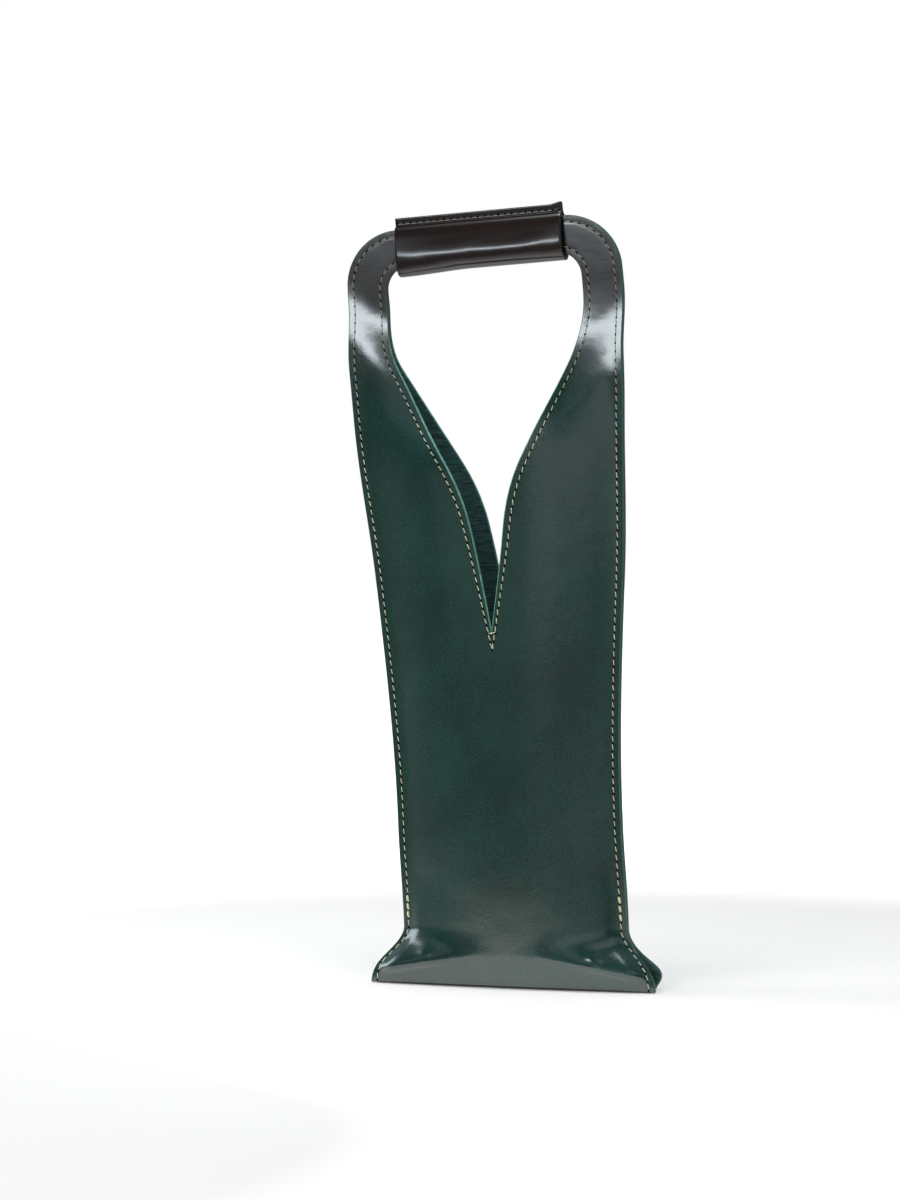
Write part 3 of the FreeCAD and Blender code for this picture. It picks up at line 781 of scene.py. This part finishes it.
def makeFloor():
    bm = bmesh.new()
    bmesh.ops.create_circle(bm, cap_ends=True, radius=floor["size"], segments=floor["sides"])
    data = bpy.data.meshes.new("studioFloor")
    bm.to_mesh(data)
    bm.free()
    piece = bpy.data.objects.new("studioFloor", data)
    bpy.context.collection.objects.link(piece)
    made, tree, shader = newMaterial("studioPaper")
    shader.inputs["Roughness"].default_value = 0.9
    shader.inputs["Specular IOR Level"].default_value = 0.1
    where = addNode(tree, "ShaderNodeTexCoord")
    ahead = addNode(tree, "ShaderNodeVectorMath", {1: (-floor["slant"], -1, 0)}, [(0, where, "Object")],
                    operation="DOT_PRODUCT")  # metres in front, less towards the right
    ended = addNode(tree, "ShaderNodeMapRange", {"From Min": floor["front"], "From Max": floor["end"]},
                    [("Value", ahead, "Value")], interpolation_type="SMOOTHSTEP")
    paper = addNode(tree, "ShaderNodeMix", {6: srgb(floor["color"]), 7: srgb(floor["far"])},
                    [("Factor", ended, "Result")], data_type="RGBA")
    tree.links.new(paper.outputs[2], shader.inputs["Base Color"])
    away = addNode(tree, "ShaderNodeVectorMath", feeds=[(0, where, "Object")], operation="LENGTH")
    distant = addNode(tree, "ShaderNodeMapRange", {"From Min": floor["near"], "From Max": floor["away"]},
                      [("Value", away, "Value")], interpolation_type="SMOOTHSTEP")
    path = addNode(tree, "ShaderNodeLightPath")
    eye = addNode(tree, "ShaderNodeMath", feeds=[(0, path, "Is Camera Ray"), (1, path, "Is Transmission Ray")],
                  operation="MAXIMUM")
    seen = addNode(tree, "ShaderNodeMapRange", {"To Min": floor["lift"], "To Max": 1.0},
                   [("Value", distant, "Result")])
    front = addNode(tree, "ShaderNodeMapRange", {"To Max": floor["endLift"]}, [("Value", ended, "Result")])
    whiter = addNode(tree, "ShaderNodeMath", feeds=[(0, seen, 0), (1, front, 0)], operation="MAXIMUM")
    toEye = addNode(tree, "ShaderNodeMath", feeds=[(0, eye, 0), (1, whiter, 0)], operation="MULTIPLY")
    close = addNode(tree, "ShaderNodeMapRange",
                    {"From Min": floor["mirrorNear"], "From Max": floor["mirrorAway"],
                     "To Min": floor["mirrorLift"], "To Max": 0.0},
                    [("Value", away, "Value")], interpolation_type="SMOOTHSTEP")  # bright paper by the foot
    far = addNode(tree, "ShaderNodeMapRange", {"To Max": floor["mirrorFar"]}, [("Value", ended, "Result")])
    there = addNode(tree, "ShaderNodeMath", feeds=[(0, close, 0), (1, far, 0)], operation="MAXIMUM")
    toGloss = addNode(tree, "ShaderNodeMath", feeds=[(0, path, "Is Glossy Ray"), (1, there, 0)],
                      operation="MULTIPLY")
    glow = addNode(tree, "ShaderNodeMath", feeds=[(0, toEye, 0), (1, toGloss, 0)], operation="MAXIMUM")
    shader.inputs["Emission Color"].default_value = (1, 1, 1, 1)
    tree.links.new(glow.outputs[0], shader.inputs["Emission Strength"])
    data.materials.append(made)


makeFloor()


# White studio: white to the eye, and in reflections and light bright behind and dim towards the camera
room = {"dim": 0.03, "bright": 0.5, "mirrorDim": 0.1, "mirrorBright": 0.55, "from": -0.5, "to": 0.6,
        "tint": "#e6f4ff"}


def makeWorld():
    world = bpy.data.worlds.new("studio")
    bpy.context.scene.world = world
    world.use_nodes = True
    tree = world.node_tree
    tree.nodes.clear()
    where = addNode(tree, "ShaderNodeTexCoord")
    split = addNode(tree, "ShaderNodeSeparateXYZ", feeds=[("Vector", where, "Generated")])
    behind = addNode(tree, "ShaderNodeMapRange", {"From Min": room["from"], "From Max": room["to"]},
                     [("Value", split, "Y")], interpolation_type="SMOOTHSTEP")
    light = addNode(tree, "ShaderNodeMapRange", {"To Min": room["dim"], "To Max": room["bright"]},
                    [("Value", behind, "Result")])
    mirror = addNode(tree, "ShaderNodeMapRange", {"To Min": room["mirrorDim"], "To Max": room["mirrorBright"]},
                     [("Value", behind, "Result")])
    path = addNode(tree, "ShaderNodeLightPath")
    level = addNode(tree, "ShaderNodeMix", feeds=[(0, path, "Is Glossy Ray"), (2, light, 0), (3, mirror, 0)])
    eye = addNode(tree, "ShaderNodeMath", feeds=[(0, path, "Is Camera Ray"), (1, path, "Is Transmission Ray")],
                  operation="MAXIMUM")
    strength = addNode(tree, "ShaderNodeMath", feeds=[(0, eye, 0), (1, level, 0)], operation="MAXIMUM")
    tint = addNode(tree, "ShaderNodeMix", {6: srgb(room["tint"]), 7: (1, 1, 1, 1)}, [("Factor", eye, 0)],
                   data_type="RGBA")
    white = addNode(tree, "ShaderNodeBackground", feeds=[("Strength", strength, 0), ("Color", tint, 2)])
    addNode(tree, "ShaderNodeOutputWorld", feeds=[("Surface", white, 0)])


makeWorld()


# Soft boxes: (azimuth from the front to the right, elevation, distance, width, height, watts)
lamps = {
    "keyBox": (-17, 6.5, 0.6, 0.3, 0.063, 1.0),
    "lowBox": (-15, -6.0, 1.8, 2.0, 0.17, 0.35),
    "leftBox": (-84, 10, 1.5, 0.6, 1.0, 10),
    "wallBox": (-25, 15.5, 1.8, 2.4, 0.5, 1.4),
    "rightBox": (18, 3, 2.7, 1.5, 0.7, 2.8),
    "highBox": (38, 28, 2.0, 1.2, 1.0, 3),
    "topBox": (0, 78, 1.5, 1.0, 1.0, 22),
}
aim = Vector((0, 0, 0.37))  # the boxes face the handle
daylight = (0.86, 0.95, 1.0)
for name, (azimuth, elevation, distance, width, tall, watts) in lamps.items():
    a, e = math.radians(azimuth), math.radians(elevation)
    away = Vector((math.sin(a) * math.cos(e), -math.cos(a) * math.cos(e), math.sin(e)))
    data = bpy.data.lights.new(name, "AREA")
    data.shape = "RECTANGLE"
    data.size, data.size_y, data.energy = width, tall, watts
    data.color = daylight
    lamp = bpy.data.objects.new(name, data)
    lamp.location = aim + away * distance
    lamp.rotation_euler = away.to_track_quat("Z", "Y").to_euler()
    bpy.context.collection.objects.link(lamp)


# Camera at the photograph's angle, the picture taken as 900 by 1200
shot = {"azimuth": 17.0, "distance": 2.28, "height": 0.288, "down": 2.145, "left": 0.875, "lens": 131.0}


def makeCamera():
    turn = math.radians(shot["azimuth"])
    data = bpy.data.cameras.new("photoCamera")
    data.lens = shot["lens"]
    data.sensor_width = 36.0
    data.sensor_fit = "AUTO"
    camera = bpy.data.objects.new("photoCamera", data)
    camera.location = (shot["distance"] * math.sin(turn), -shot["distance"] * math.cos(turn), shot["height"])
    camera.rotation_euler = (math.radians(90 - shot["down"]), 0, math.radians(shot["azimuth"] + shot["left"]))
    bpy.context.collection.objects.link(camera)
    bpy.context.scene.camera = camera


makeCamera()
bpy.context.scene.view_settings.view_transform = "Standard"
print("stage set")
